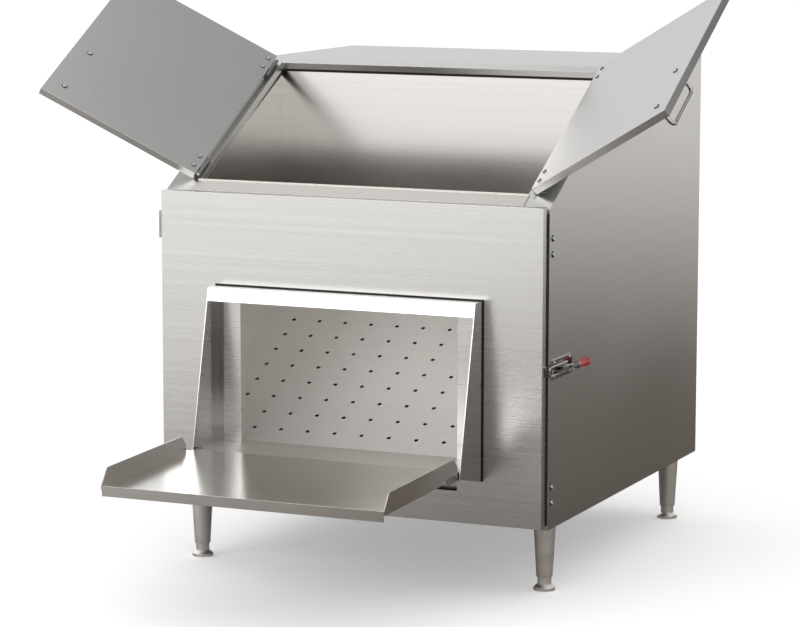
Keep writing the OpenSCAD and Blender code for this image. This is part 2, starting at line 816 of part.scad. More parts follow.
// Discharge tray and door: a floor with a wing on each side, a lip at the front and a lug
// at each rear corner for its pin
module tray() {
    inner = tray_half - sheet_t;
    lug = lug_x + sheet_t;
    rear = tray_behind_pin;
    front = rear - tray_len;
    notch = -10;
    top = tray_over_pin;
    under = top - sheet_t;
    color("silver") on_panel() translate([0, tray_pin[0], tray_pin[1]])
        rotate([tray_tilt, 0, 0]) {
            block([-inner, front, under], [inner, notch, top]);
            block([-lug, notch, under], [lug, rear, top]);
            block([-inner, front, top - lip_h], [inner, front + sheet_t, under]);
            for (side = [0, 1]) mirror([side, 0, 0]) {
                along_x(inner, tray_half) polygon([
                    [front, under - wing_drop],
                    [front, top + 1],
                    [front + 22, top + wing_h],
                    [notch - 17, top + wing_h],
                    [notch, top + wing_h - 17],
                    [notch, under],
                    [notch - wing_notch, under],
                    [notch - wing_notch, under - wing_drop]
                ]);
                along_x(lug_x, lug) difference() {
                    union() {
                        circle(r = lug_r);
                        translate([-lug_r, 0]) square([lug_r + rear, under]);
                    }
                    circle(r = tray_pin_r + pin_fit);
                }
            }
        }
}

// Hook plate on the right edge of the front panel
module keeper() {
    half = keeper_h / 2;
    lip_half = hook_span / 2 - hook_bar / 2 - 1;
    lip_out = hook_axis[0] + hook_bar / 2 + 3;
    plate_front = panel_y + 3;
    plate_back = y_front - gasket_gap - gasket_t - 1;
    color("gainsboro") {
        block([keeper_x, plate_front, latch_z - half],
              [keeper_x + keeper_t, plate_back, latch_z + half]);
        block([keeper_x + keeper_t, keeper_lip_y, latch_z - lip_half],
              [lip_out, keeper_lip_y + 2.5, latch_z + lip_half]);
    }
}

// Moves its children to a door hinge's axis: z is up, from the hinge's lower end
module at_door_hinges() {
    for (middle = [door_hinge_low, door_hinge_high])
        translate([door_axis_x, door_axis_y, z_bot + middle - door_hinge_h / 2]) children();
}

module door_fixed_leaves() {
    leaf_out = -x_out - door_axis_x;
    front_edge = y_front - door_axis_y;
    color("gainsboro") at_door_hinges() difference() {
        union() {
            block([leaf_out - sheet_t, front_edge, 0], [leaf_out, front_edge + door_leaf_w, door_hinge_h]);
            for (s = outer_knuckles(door_hinge_h)) {
                translate([0, 0, s[0]]) cylinder(r = door_barrel_r, h = s[1] - s[0]);
                block([leaf_out - sheet_t, 0, s[0]], [leaf_out, front_edge + 1, s[1]]);
            }
        }
        translate([0, 0, -1]) cylinder(r = door_pin_r + pin_fit, h = door_hinge_h + 2);
    }
}

module door_leaves() {
    leaf_x = -panel_w / 2 - door_axis_x;
    s = middle_knuckle(door_hinge_h)[0];
    front = panel_y + 2 - door_axis_y;
    color("gainsboro") at_door_hinges() difference() {
        union() {
            block([leaf_x - leaf_t, front, 0], [leaf_x, -door_barrel_r - 0.6, door_hinge_h]);
            block([leaf_x - leaf_t, -door_barrel_r - 1, s[0]], [leaf_x, 1, s[1]]);
            block([0, -1, s[0]], [leaf_x - leaf_t, 1, s[1]]);
            translate([0, 0, s[0]]) cylinder(r = door_barrel_r, h = s[1] - s[0]);
        }
        translate([0, 0, -1]) cylinder(r = door_pin_r + pin_fit, h = door_hinge_h + 2);
    }
}

module door_pins() {
    color("gainsboro") at_door_hinges() {
        cylinder(r = door_pin_r, h = door_hinge_h);
        for (z = [-2, door_hinge_h]) translate([0, 0, z])
            cylinder(r = door_barrel_r - 0.3, h = 2);
    }
}

// Latch base: a plate with two lugs that carry the handle's pivot
module latch_base() {
    start = y_front + latch_start;
    half = latch_base_h / 2;
    lug_low = latch_arm_h / 2 + latch_lug_gap;
    color("gainsboro") {
        difference() {
            block([x_out, start, latch_z - half],
                  [x_out + latch_base_t, start + latch_base_len, latch_z + half]);
            latch_bolt_places() cylinder(r = 2.5, h = 20, center = true);
        }
        for (side = [0, 1]) translate([0, 0, latch_z]) mirror([0, 0, side])
            translate([0, 0, lug_low]) linear_extrude(latch_lug_t) hull() {
                translate([x_out + latch_base_t - 1, latch_axis[1] - 16]) square([1, 32]);
                translate(latch_axis) circle(r = 6);
            }
        translate([latch_axis[0], latch_axis[1], latch_z - lug_low - latch_lug_t])
            cylinder(r = 3, h = 2 * (lug_low + latch_lug_t));
    }
}

// Moves its children to the latch bolts, with z pointing away from the cabinet
module latch_bolt_places() {
    rise = latch_base_h / 2 - 5;
    for (y = [10, latch_base_len - 10], z = [-rise, rise])
        translate([x_out, y_front + latch_start + y, latch_z + z]) rotate([0, 90, 0]) children();
}

module latch_bolts() {
    color("white") latch_bolt_places() {
        cylinder(r = 2.5, h = latch_base_t);
        translate([0, 0, latch_base_t]) round_head(4, 1.8);
    }
}

// Handle arm in plan, from its pivot to the bend towards the grip
module handle_plan() {
    hull() {
        circle(r = 6.5);
        translate([-hook_pivot_in, hook_pivot_back]) circle(r = 3.5);
        translate([0, hook_pivot_back + 6]) circle(r = 5);
    }
    hull() {
        translate([0, hook_pivot_back + 6]) circle(r = 5);
        translate([grip_out, latch_handle_len - grip_len - 4]) circle(r = 4);
    }
}

module latch_handle() {
    color("gainsboro") translate([latch_axis[0], latch_axis[1], latch_z]) difference() {
        union() {
            translate([0, 0, -latch_arm_h / 2]) linear_extrude(latch_arm_h) handle_plan();
            translate([grip_out, latch_handle_len - grip_len - 6, 0]) rotate([-90, 0, 0])
                cylinder(r = 3.5, h = grip_len - 6);
            translate([grip_out, latch_handle_len - grip_len - 5, 0]) rotate([-90, 0, 0])
                cylinder(r = 6.5, h = 5);
        }
        translate([0, 0, -20]) cylinder(r = 3 + pin_fit, h = 40);
        translate([-hook_pivot_in, hook_pivot_back, -20])
            cylinder(r = hook_trunnion_r + pin_fit, h = 40);
    }
}

// Dipped grip that swells towards its end
module latch_grip() {
    color("firebrick")
        translate([latch_axis[0] + grip_out, latch_axis[1] + latch_handle_len, latch_z])
            rotate([90, 0, 0]) difference() {
                rotate_extrude() polygon([
                    [0, 0], [7.5, 0], [9, 1.5], [9, 5], [7.5, 16], [6.5, grip_len - 12], [7, grip_len],
                    [0, grip_len]
                ]);
                translate([0, 0, 12]) cylinder(r = 3.5, h = grip_len);
            }
}

// U-shaped hook with a trunnion through the handle's arm
module latch_hook() {
    r = hook_bar / 2;
    bend = 4;
    half = hook_span / 2;
    rod = hook_axis[1] + 4 - hook_bar_y - bend;
    color("gainsboro") translate([hook_axis[0], 0, latch_z]) {
        for (side = [0, 1]) mirror([0, 0, side]) {
            translate([0, hook_bar_y + bend, half]) rotate([-90, 0, 0]) cylinder(r = r, h = rod);
            translate([0, hook_bar_y + bend, half - bend]) rotate([90, 0, -90])
                rotate_extrude(angle = 90) translate([bend, 0]) circle(r = r);
        }
        translate([0, hook_bar_y, -half + bend]) cylinder(r = r, h = hook_span - 2 * bend);
        translate([0, hook_axis[1], -half]) cylinder(r = hook_trunnion_r, h = hook_span);
    }
}

// Round heads on the side panels' front edges, opposite the door hinges
module side_screws() {
    color("white") for (middle = [door_hinge_low, door_hinge_high], place = [-0.5, 0.5])
        translate([x_out, y_front + 16.5, z_bot + middle - 6 + place * screw_pitch])
            rotate([0, 90, 0]) round_head(5, 3);
}

// Leg with a socket for the foot's stud
module leg(side_x, side_y) {
    color("lightgray") translate([side_x * (x_out - leg_in_x), side_y * (cab_d / 2 - leg_in_y), 0])
        difference() {
            union() {
                translate([0, 0, leg_low_z])
                    cylinder(r1 = leg_low_r, r2 = leg_top_r, h = z_bot - leg_low_z - 6);
                translate([0, 0, z_bot - 6]) cylinder(r = leg_top_r, h = 6);
                translate([0, 0, z_bot]) cylinder(r = 6, h = sheet_t);
            }
            translate([0, 0, leg_low_z - 1]) cylinder(r = 5 + pin_fit, h = 46);
        }
}

// Foot: a round pad, a neck and a stud that runs up into the leg
module foot(side_x, side_y) {
    neck_r = leg_low_r * 0.85;
    color("lightgray") translate([side_x * (x_out - leg_in_x), side_y * (cab_d / 2 - leg_in_y), 0]) {
        rotate_extrude() polygon([
            [0, 0], [foot_r - 1, 0], [foot_r, 1], [foot_r, 7], [foot_r - 2, 9],
            [neck_r, 13], [neck_r, leg_low_z - 1], [0, leg_low_z - 1]
        ]);
        cylinder(r = 5, h = leg_low_z + 30);
    }
}

module leg_front_left() { leg(-1, -1); }
module leg_front_right() { leg(1, -1); }
module leg_rear_left() { leg(-1, 1); }
module leg_rear_right() { leg(1, 1); }
module foot_front_left() { foot(-1, -1); }
module foot_front_right() { foot(1, -1); }
module foot_rear_left() { foot(-1, 1); }
module foot_rear_right() { foot(1, 1); }

// Gland that the supply cord would pass through
module cord_gland() {
    color("dimgray") translate([control_x - control_w, y_back, control_z]) rotate([-90, 0, 0])
        difference() {
            union() {
                translate([0, 0, -2 * sheet_t - 6]) cylinder(r = 10.9, h = 2 * sheet_t + 7);
                translate([0, 0, -sheet_t]) cylinder(r = 15, h = sheet_t + 4);
                translate([0, 0, 4]) cylinder(r = 10, h = 12);
            }
            translate([0, 0, -20]) cylinder(r = 5, h = 60);
        }
}

// Plate on the back that carries the switch and the thermostat
module control_plate() {
    color("gray") difference() {
        block([control_x - control_w / 2, y_back - sheet_t, control_z - control_h / 2],
              [control_x + control_w / 2, y_back + 1, control_z + control_h / 2]);
        block([control_x - 52, y_back - 5, control_z - 12], [control_x - 24, y_back + 5, control_z + 12]);
        translate([control_x + 34, y_back, control_z]) rotate([90, 0, 0])
            cylinder(r = 3 + pin_fit, h = 20, center = true);
    }
}

// Rocker tilted on its own pivot, between the walls of the plate's window
module rocker_switch() {
    color("firebrick") translate([control_x - 38, y_back - 1, control_z])
        rotate([0, 90, 0]) linear_extrude(27.4, center = true)
            polygon([[-10, -6], [10, -6], [10.5, 5], [0, 3.2], [-10.5, 7]]);
}

module thermostat_knob() {
    color("dimgray") translate([control_x + 34, y_back + 1, control_z]) rotate([-90, 0, 0]) {
        translate([0, 0, 0.4]) difference() {
            cylinder(r1 = knob_r, r2 = knob_r - 2, h = 14);
            for (turn = [0 : 30 : 330]) rotate([0, 0, turn])
                translate([knob_r + 0.6, 0, -1]) cylinder(r = 2, h = 20);
        }
        translate([0, 0, -12]) cylinder(r = 3, h = 13);
        translate([-1, 4, 14]) cube([2, knob_r - 6, 1]);
    }
}

side_panel_left();
side_panel_right();
back_panel();
base_pan();
top_cover();
front_sill();
thermal_break();
front_frame();
hopper_liner();
hopper_floor();
rear_baffle();
heater_duct();
heating_element();
blower();
lid_fixed_leaves();  // left_lid_fixed_leaves
mirror([1, 0, 0]) lid_fixed_leaves();  // right_lid_fixed_leaves
lid_pins();  // left_lid_pins
mirror([1, 0, 0]) lid_pins();  // right_lid_pins
door_fixed_leaves();
door_pins();
latch_base();
latch_bolts();
side_screws();
leg_front_left();
leg_front_right();
leg_rear_left();
leg_rear_right();
cord_gland();
control_plate();
foot_front_left();
foot_front_right();
foot_rear_left();
foot_rear_right();
lid_outer();  // left_lid_outer
lid_inner();  // left_lid_inner
lid_handle();  // left_lid_handle
lid_screws();  // left_lid_screws
lid_leaves();  // left_lid_leaves
mirror([1, 0, 0]) lid_outer();  // right_lid_outer
mirror([1, 0, 0]) lid_inner();  // right_lid_inner
mirror([1, 0, 0]) lid_handle();  // right_lid_handle
mirror([1, 0, 0]) lid_screws();  // right_lid_screws
mirror([1, 0, 0]) lid_leaves();  // right_lid_leaves
front_panel();
panel_liner();
door_gasket();
hood();
chute_floor();
pivot_ear_left();
pivot_ear_right();
tray_pins();
keeper();
door_leaves();
tray();
latch_handle();
latch_grip();
latch_hook();
rocker_switch();
thermostat_knob();
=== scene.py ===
"""Looks of the chip warmer: materials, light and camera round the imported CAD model. Metres, Z up."""
import math

import bmesh
import bpy
from mathutils import Matrix, Vector


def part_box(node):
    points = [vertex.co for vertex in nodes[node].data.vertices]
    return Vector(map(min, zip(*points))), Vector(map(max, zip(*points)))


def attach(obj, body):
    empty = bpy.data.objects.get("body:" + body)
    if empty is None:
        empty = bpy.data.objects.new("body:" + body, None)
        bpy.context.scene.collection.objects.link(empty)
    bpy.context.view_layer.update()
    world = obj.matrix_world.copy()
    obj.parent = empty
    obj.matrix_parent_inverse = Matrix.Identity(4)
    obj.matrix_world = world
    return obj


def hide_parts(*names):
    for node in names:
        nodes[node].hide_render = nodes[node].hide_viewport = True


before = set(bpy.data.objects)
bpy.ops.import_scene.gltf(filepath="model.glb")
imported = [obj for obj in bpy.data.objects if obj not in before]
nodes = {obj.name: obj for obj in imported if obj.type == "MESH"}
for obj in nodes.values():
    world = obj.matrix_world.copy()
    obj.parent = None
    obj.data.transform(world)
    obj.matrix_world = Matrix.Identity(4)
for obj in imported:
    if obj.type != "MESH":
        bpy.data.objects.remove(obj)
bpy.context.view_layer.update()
scene = bpy.context.scene
scene.view_settings.view_transform = "Standard"

BEVEL_SAMPLES = 4
# Cosines between the bevelled and the true normal: on a full edge, and where the flat face begins
EDGE_TURN = (0.75, 0.995)


class Tree:
    """A material's node tree, with short calls for the nodes used here."""

    def __init__(self, name):
        self.material = bpy.data.materials.new(name)
        self.material.use_nodes = True
        self.tree = self.material.node_tree
        self.tree.nodes.clear()
        self.output = self.node("ShaderNodeOutputMaterial")
        self.coords = self.node("ShaderNodeTexCoord").outputs["Object"]

    def node(self, kind, **settings):
        made = self.tree.nodes.new(kind)
        for key, value in settings.items():
            setattr(made, key, value)
        return made

    def join(self, source, target):
        self.tree.links.new(source, target)

    def shade(self):
        """Adds the surface shader and returns its inputs."""
        shader = self.node("ShaderNodeBsdfPrincipled")
        self.join(shader.outputs["BSDF"], self.output.inputs["Surface"])
        return shader.inputs

    def math(self, operation, first, second=0.0):
        made = self.node("ShaderNodeMath", operation=operation)
        for number, value in enumerate((first, second)):
            self.feed(value, made.inputs[number])
        return made.outputs[0]

    def feed(self, value, target):
        """Links an output to a socket, or sets the socket to a plain value."""
        if hasattr(value, "is_output"):
            self.join(value, target)
        else:
            target.default_value = value

    def noise(self, scale, detail=4.0, vector=None):
        made = self.node("ShaderNodeTexNoise")
        made.inputs["Scale"].default_value = scale
        made.inputs["Detail"].default_value = detail
        self.join(self.coords if vector is None else vector, made.inputs["Vector"])
        return made.outputs["Fac"]

    def spread(self, value, low, high, start=0.0, end=1.0):
        """Maps a value from start..end to low..high, and holds it there outside."""
        made = self.node("ShaderNodeMapRange")
        made.inputs["From Min"].default_value = start
        made.inputs["From Max"].default_value = end
        made.inputs["To Min"].default_value = low
        made.inputs["To Max"].default_value = high
        self.join(value, made.inputs["Value"])
        return made.outputs["Result"]

    def blend(self, factor, first, second, mode="MIX"):
        made = self.node("ShaderNodeMix", data_type="RGBA", blend_type=mode)
        for number, value in ((0, factor), (6, first), (7, second)):
            self.feed(value, made.inputs[number])
        return made.outputs[2]

    def bevel(self, radius):
        made = self.node("ShaderNodeBevel", samples=BEVEL_SAMPLES)
        made.inputs["Radius"].default_value = radius
        return made.outputs["Normal"]

    def edges(self, bevelled):
        """How far the bevelled normal leaves the true one: 0 on a flat face, up to 1 on an edge."""
        turn = self.node("ShaderNodeVectorMath", operation="DOT_PRODUCT")
        self.join(bevelled, turn.inputs[0])
        self.join(self.node("ShaderNodeNewGeometry").outputs["True Normal"], turn.inputs[1])
        return self.spread(turn.outputs["Value"], 1.0, 0.0, *EDGE_TURN)

    def bump(self, height, strength, distance, under=None):
        made = self.node("ShaderNodeBump")
        made.inputs["Strength"].default_value = strength
        made.inputs["Distance"].default_value = distance
        self.join(height, made.inputs["Height"])
        if under is not None:
            self.join(under, made.inputs["Normal"])
        return made.outputs["Normal"]

    def grain(self, kind, along, across):
        """Coordinates stretched along the brushing, which runs level on walls, or along x or y."""
        split = self.node("ShaderNodeSeparateXYZ")
        self.join(self.coords, split.inputs[0])
        x, y, z = split.outputs
        if kind == "wall":
            long, short, third = self.math("ADD", x, y), z, 0.0
        elif kind == "flat_x":
            long, short, third = x, y, z
        else:
            long, short, third = y, x, 0.0
        joined = self.node("ShaderNodeCombineXYZ")
        self.join(self.math("MULTIPLY", long, along), joined.inputs[0])
        self.join(self.math("MULTIPLY", short, across), joined.inputs[1])
        if kind == "flat_x":
            self.join(self.math("MULTIPLY", third, across), joined.inputs[2])
        return joined.outputs[0]


# Noise cells per metre, along and across the brushing
FINE_GRAIN = (0.6, 260.0)
BROAD_GRAIN = (0.35, 90.0)
FINE_SHARE = 0.6
SMUDGE_CELLS = 2.6
# How much of the grain's depth goes into roughness and into the bump
GRAIN_TO_ROUGH = 0.15
GRAIN_TO_BUMP = 0.3
METAL_BUMP = 0.0001
# Cells per metre of plated clouds and pits, and of the wear on plastic and rubber
PLATE_CLOUDS = 35.0
PLATE_PITS = 700.0
WEAR_CELLS = 25.0
# Shares of the roughness at the two ends of the clouds and of the wear
PLATE_ROUGH = (0.92, 1.1)
MOULD_ROUGH = (0.85, 1.2)
# How pale plastic and rubber are rubbed, in patches and on their edges
RUBBED_PATCHES = 0.2
RUBBED_EDGES = 0.5
# The band that holds most of a noise's values: a narrow one gives more contrast
NARROW = (0.35, 0.65)
WIDE = (0.3, 0.7)
# Painted highlight along edges: how much brighter the edges' colour is than the sheet or the plating
SHEET_EDGE_HIGHLIGHT = 1.45
PLATE_EDGE_HIGHLIGHT = 1.4
BRIGHTEST_HIGHLIGHT = 0.95


# Colour of the painted highlight along an edge: the colour made brighter, up to a ceiling
def painted_edge_highlight(colour, times):
    return (*(min(BRIGHTEST_HIGHLIGHT, c * times) for c in colour), 1)


def brushed(name, colour, roughness, kind, grain=0.05, smudge=0.02, edge=0.0007, rim=0.8):
    """Brushed stainless: fine streaks one way, broad smudges, and a painted highlight along its edges.
    """
    t = Tree(name)
    fine = t.noise(1.0, 1.0, t.grain(kind, *FINE_GRAIN))
    broad = t.noise(1.0, 2.0, t.grain(kind, *BROAD_GRAIN))
    clouds = t.noise(SMUDGE_CELLS)
    streaks = t.math("ADD", t.math("MULTIPLY", fine, FINE_SHARE),
                     t.math("MULTIPLY", broad, 1 - FINE_SHARE))
    bevelled = t.bevel(edge)
    shades = t.spread(streaks, 1 - grain, 1 + grain, *NARROW)
    base = t.blend(1.0, (*colour, 1), shades, "MULTIPLY")
    shader = t.shade()
    # Painted highlight: the base colour turns brighter where the bevel finds an edge
    t.join(t.blend(t.edges(bevelled), base, painted_edge_highlight(colour, SHEET_EDGE_HIGHLIGHT)), shader["Base Color"])
    shader["Metallic"].default_value = 1.0
    shader["Specular Tint"].default_value = (rim, rim, rim, 1)
    change = GRAIN_TO_ROUGH * grain
    brushing = t.spread(streaks, roughness - change, roughness + change, *NARROW)
    worn = t.math("ADD", brushing, t.spread(clouds, -smudge, smudge, *NARROW))
    t.join(worn, shader["Roughness"])
    t.join(t.bump(fine, GRAIN_TO_BUMP * grain, METAL_BUMP, bevelled), shader["Normal"])
    return t.material


def plated(name, colour, roughness, mottle=0.05, edge=0.0005):
    """Plated or polished metal with a slight unevenness and a painted highlight along its edges."""
    t = Tree(name)
    clouds = t.noise(PLATE_CLOUDS, 3.0)
    fine = t.noise(PLATE_PITS, 2.0)
    bevelled = t.bevel(edge)
    base = t.blend(1.0, (*colour, 1), t.spread(clouds, 1 - mottle, 1 + mottle, *WIDE), "MULTIPLY")
    shader = t.shade()
    # Painted highlight: the base colour turns brighter where the bevel finds an edge
    t.join(t.blend(t.edges(bevelled), base, painted_edge_highlight(colour, PLATE_EDGE_HIGHLIGHT)), shader["Base Color"])
    shader["Metallic"].default_value = 1.0
    polish = [roughness * share for share in PLATE_ROUGH]
    t.join(t.spread(clouds, *polish, *WIDE), shader["Roughness"])
    t.join(t.bump(fine, 0.03, METAL_BUMP, bevelled), shader["Normal"])
    return t.material


def moulded(name, colour, roughness, pores=900.0, coat=0.0, edge=0.0006):
    """Moulded or dipped plastic and rubber with a fine surface, rubbed paler on its edges."""
    t = Tree(name)
    fine = t.noise(pores, 2.0)
    wear = t.noise(WEAR_CELLS)
    bevelled = t.bevel(edge)
    pale = [min(1.0, c * 1.6 + 0.01) for c in colour]
    patches = t.spread(wear, 0.0, RUBBED_PATCHES, 0.4, 0.7)
    rubbed = t.math("ADD", patches, t.math("MULTIPLY", t.edges(bevelled), RUBBED_EDGES))
    shader = t.shade()
    t.join(t.blend(rubbed, (*colour, 1), (*pale, 1)), shader["Base Color"])
    gloss = [roughness * share for share in MOULD_ROUGH]
    t.join(t.spread(wear, *gloss, *WIDE), shader["Roughness"])
    shader["Coat Weight"].default_value = coat
    shader["Coat Roughness"].default_value = 0.12
    t.join(t.bump(fine, 0.08, 0.0002, bevelled), shader["Normal"])
    return t.material


STEEL = (0.62, 0.612, 0.595)
# Colour and roughness, then for sheets the way of the grain, its depth and the smudges' depth
materials = {
    "side": brushed("side_sheet", (0.61, 0.59, 0.565), 0.30, "wall", 0.014, 0.015),
    "back": brushed("back_sheet", STEEL, 0.32, "wall", 0.02),
    "plain": brushed("plain_sheet", (0.50, 0.50, 0.495), 0.42, "wall", 0.02),
    "top": brushed("top_sheet", (0.64, 0.635, 0.625), 0.30, "flat_x", 0.012, 0.01),
    "sill": brushed("sill_sheet", (0.62, 0.60, 0.57), 0.26, "flat_x", 0.02),
    "panel": brushed("panel_sheet", (0.70, 0.69, 0.675), 0.27, "wall", 0.05, 0.012),
    "liner": brushed("liner_sheet", (0.72, 0.695, 0.665), 0.20, "wall", 0.03),
    "floor": brushed("floor_sheet", (0.72, 0.70, 0.67), 0.45, "flat_x", 0.02),
    "hood": brushed("hood_sheet", (0.52, 0.51, 0.495), 0.16, "wall", 0.01),
    "wing": brushed("tray_sheet", (0.74, 0.725, 0.70), 0.20, "flat_x", 0.01, 0.01, 0.0007, 1.0),
    "lid_out": brushed("lid_outer_sheet", STEEL, 0.32, "flat_y", 0.015),
    "lid_in": brushed("lid_inner_sheet", (0.66, 0.655, 0.65), 0.30, "flat_y", 0.012, 0.008),
    "hinge": plated("hinge_metal", (0.40, 0.395, 0.385), 0.22),
    "zinc": plated("zinc_plate", (0.38, 0.375, 0.36), 0.14, 0.10, 0.0009),
    "screw": plated("screw_metal", (0.50, 0.495, 0.485), 0.16, 0.05, 0.0008),
    "pull": plated("pull_metal", (0.60, 0.595, 0.58), 0.16),
    "leg": plated("leg_nickel", (0.92, 0.885, 0.84), 0.40, 0.03),
    "sheath": moulded("element_sheath", (0.05, 0.045, 0.04), 0.55),
    "black": moulded("black_plastic", (0.02, 0.02, 0.02), 0.45),
    "rubber": moulded("black_rubber", (0.012, 0.012, 0.012), 0.75),
    "grip": moulded("red_vinyl", (0.36, 0.008, 0.009), 0.42, 500.0, 0.08),
    "red": moulded("red_plastic", (0.33, 0.012, 0.012), 0.36),
}

# The nodes that wear each material
LOOK = {
    "side": ["side_panel_left", "side_panel_right"],
    "back": ["back_panel"],
    "plain": ["base_pan", "front_frame", "heater_duct", "blower", "control_plate"],
    "top": ["top_cover"],
    "sill": ["front_sill"],
    "panel": ["front_panel"],
    "liner": ["hopper_liner", "rear_baffle", "panel_liner"],
    "floor": ["hopper_floor", "chute_floor"],
    "hood": ["hood", "pivot_ear_left", "pivot_ear_right"],
    "wing": ["tray"],
    "lid_out": ["left_lid_outer", "right_lid_outer"],
    "lid_in": ["left_lid_inner", "right_lid_inner"],
    "hinge": ["left_lid_fixed_leaves", "right_lid_fixed_leaves", "left_lid_pins", "right_lid_pins",
              "left_lid_leaves", "right_lid_leaves", "door_fixed_leaves", "door_leaves", "door_pins"],
    "zinc": ["latch_base", "latch_handle", "latch_hook", "keeper"],
    "screw": ["latch_bolts", "side_screws", "left_lid_screws", "right_lid_screws", "tray_pins"],
    "pull": ["left_lid_handle", "right_lid_handle"],
    "leg": [f"{kind}_{place}" for kind in ("leg", "foot")
            for place in ("front_left", "front_right", "rear_left", "rear_right")],
    "sheath": ["heating_element"],
    "black": ["cord_gland", "thermostat_knob"],
    "rubber": ["door_gasket", "thermal_break"],
    "grip": ["latch_grip"],
    "red": ["rocker_switch"],
}
for look, names in LOOK.items():
    for name in names:
        for slot in nodes[name].material_slots:
            slot.material = materials[look]


def made_piece(name, mesh, look, body):
    """Adds a mesh as a piece of its own that moves with a body."""
    mesh.materials.append(materials[look])
    made = bpy.data.objects.new(name, mesh)
    scene.collection.objects.link(made)
    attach(made, body)
    return made


SAME_POINT = 1e-6


def islands(mesh):
    """The separate solids of a mesh, each as its own list of faces."""
    bm = bmesh.new()
    bm.from_mesh(mesh)
    bmesh.ops.remove_doubles(bm, verts=bm.verts, dist=SAME_POINT)
    left = set(bm.faces)
    groups = []
    while left:
        waiting = [left.pop()]
        group = list(waiting)
        while waiting:
            face = waiting.pop()
            near = {other for edge in face.edges for other in edge.link_faces if other in left}
            left -= near
            group += near
            waiting += near
        groups.append(group)
    return bm, groups


def seats(node):
    """Where each screw head of a node sits: the middle of its flat seat, its axis and its radius."""
    bm, groups = islands(nodes[node].data)
    found = []
    for group in groups:
        # Each flat face of a head, by its normal and level; the largest one is the seat
        flats = {}
        for face in group:
            level = face.verts[0].co.dot(face.normal)
            key = (*(round(n, 1) for n in face.normal), round(level, 4))
            entry = flats.setdefault(key, [0.0, face.normal.copy(), set()])
            entry[0] += face.calc_area()
            entry[2] |= set(face.verts)
        _, down, rim = max(flats.values(), key=lambda entry: entry[0])
        middle = sum((v.co for v in rim), Vector()) / len(rim)
        found.append((middle, -down, max((v.co - middle).length for v in rim)))
    bm.free()
    return sorted(found, key=lambda entry: tuple(entry[0]))


HEAD_SIDES = 24
HEAD_RISE = 0.62
# The share of a head's height that is its straight rim; the rest is the dome
HEAD_RIM = 0.16
DOME_ANGLES = (0.35, 0.7, 0.95)
DOME_END = 1.12
SOCKET_SHARE = 0.42
SOCKET_DEEP = 0.42
WASHER_SHARE = 1.25
WASHER_T = 0.0008
WASHER_PROFILE = [(0.96, 0.0), (1.0, 0.35), (1.0, 0.65), (0.95, 1.0)]
TURNS = [2 * math.pi * k / HEAD_SIDES for k in range(HEAD_SIDES)]


def ring(radius, level):
    """Points of a circle round the axis."""
    return [(radius * math.cos(a), radius * math.sin(a), level) for a in TURNS]


def six_sided(radius, level):
    """Points of a hexagon round the axis, with its corners at the radius."""
    reach = [radius * math.cos(math.pi / 6) / math.cos(a % (math.pi / 3) - math.pi / 6) for a in TURNS]
    return [(r * math.cos(a), r * math.sin(a), level) for a, r in zip(TURNS, reach)]


def stand_rings(bm, rings, middle, axis):
    """Joins rings of points into a closed solid that stands at a place along an axis."""
    turn = axis.to_track_quat("Z", "Y").to_matrix()
    rows = [[bm.verts.new(middle + turn @ Vector(p)) for p in points] for points in rings]
    for low, high in zip(rows, rows[1:]):
        for k in range(HEAD_SIDES):
            after = (k + 1) % HEAD_SIDES
            bm.faces.new((low[k], low[after], high[after], high[k])).smooth = True
    bm.faces.new(rows[-1])
    bm.faces.new(list(reversed(rows[0])))


def dome(angle):
    """The share of a head's height that its dome reaches at an angle."""
    return HEAD_RIM + (1 - HEAD_RIM) * math.sin(angle)


def button_head(bm, middle, axis, radius):
    """Button-head screw: a rim, a low dome and a six-sided socket, closed at its seat."""
    height = radius * HEAD_RISE
    rings = [ring(radius, 0.0), ring(radius, height * HEAD_RIM)]
    rings += [ring(radius * math.cos(a), height * dome(a)) for a in DOME_ANGLES]
    top = height * dome(DOME_END)
    rings += [six_sided(radius * SOCKET_SHARE, level) for level in (top, top - SOCKET_DEEP * height)]
    stand_rings(bm, rings, middle, axis)


def washer(bm, middle, axis, radius):
    """Thin round washer with a rounded rim, closed above and below."""
    rings = [ring(radius * share, WASHER_T * rise) for share, rise in WASHER_PROFILE]
    stand_rings(bm, rings, middle, axis)


def screw_heads(name, node, body, larger):
    """Stands button heads on black washers, which also paint a dark ring of shade round each head, in
    the place of a node's plain round heads.
    """
    heads = bmesh.new()
    shade_ring_washers = bmesh.new()
    for middle, axis, radius in seats(node):
        # The black washer under each head paints the dark ring of shade round it
        washer(shade_ring_washers, middle, axis, radius * larger * WASHER_SHARE)
        button_head(heads, middle + axis * WASHER_T, axis, radius * larger)
    for kind, bm, look in (("heads", heads, "screw"), ("shade_ring_washers", shade_ring_washers, "rubber")):
        mesh = bpy.data.meshes.new(f"{name}_{kind}")
        bm.to_mesh(mesh)
        bm.free()
        piece = made_piece(f"{name}_{kind}", mesh, look, body)
        if kind == "heads":
            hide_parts(node)


screw_heads("side_button", "side_screws", "cabinet", 1.0)
screw_heads("left_lid_button", "left_lid_screws", "left_lid", 0.9)
screw_heads("right_lid_button", "right_lid_screws", "right_lid", 0.9)


BEAD_SIDES = 8
# The sharpest mitre that a bead makes, as the cosine of half its bend
SHARPEST = 0.3


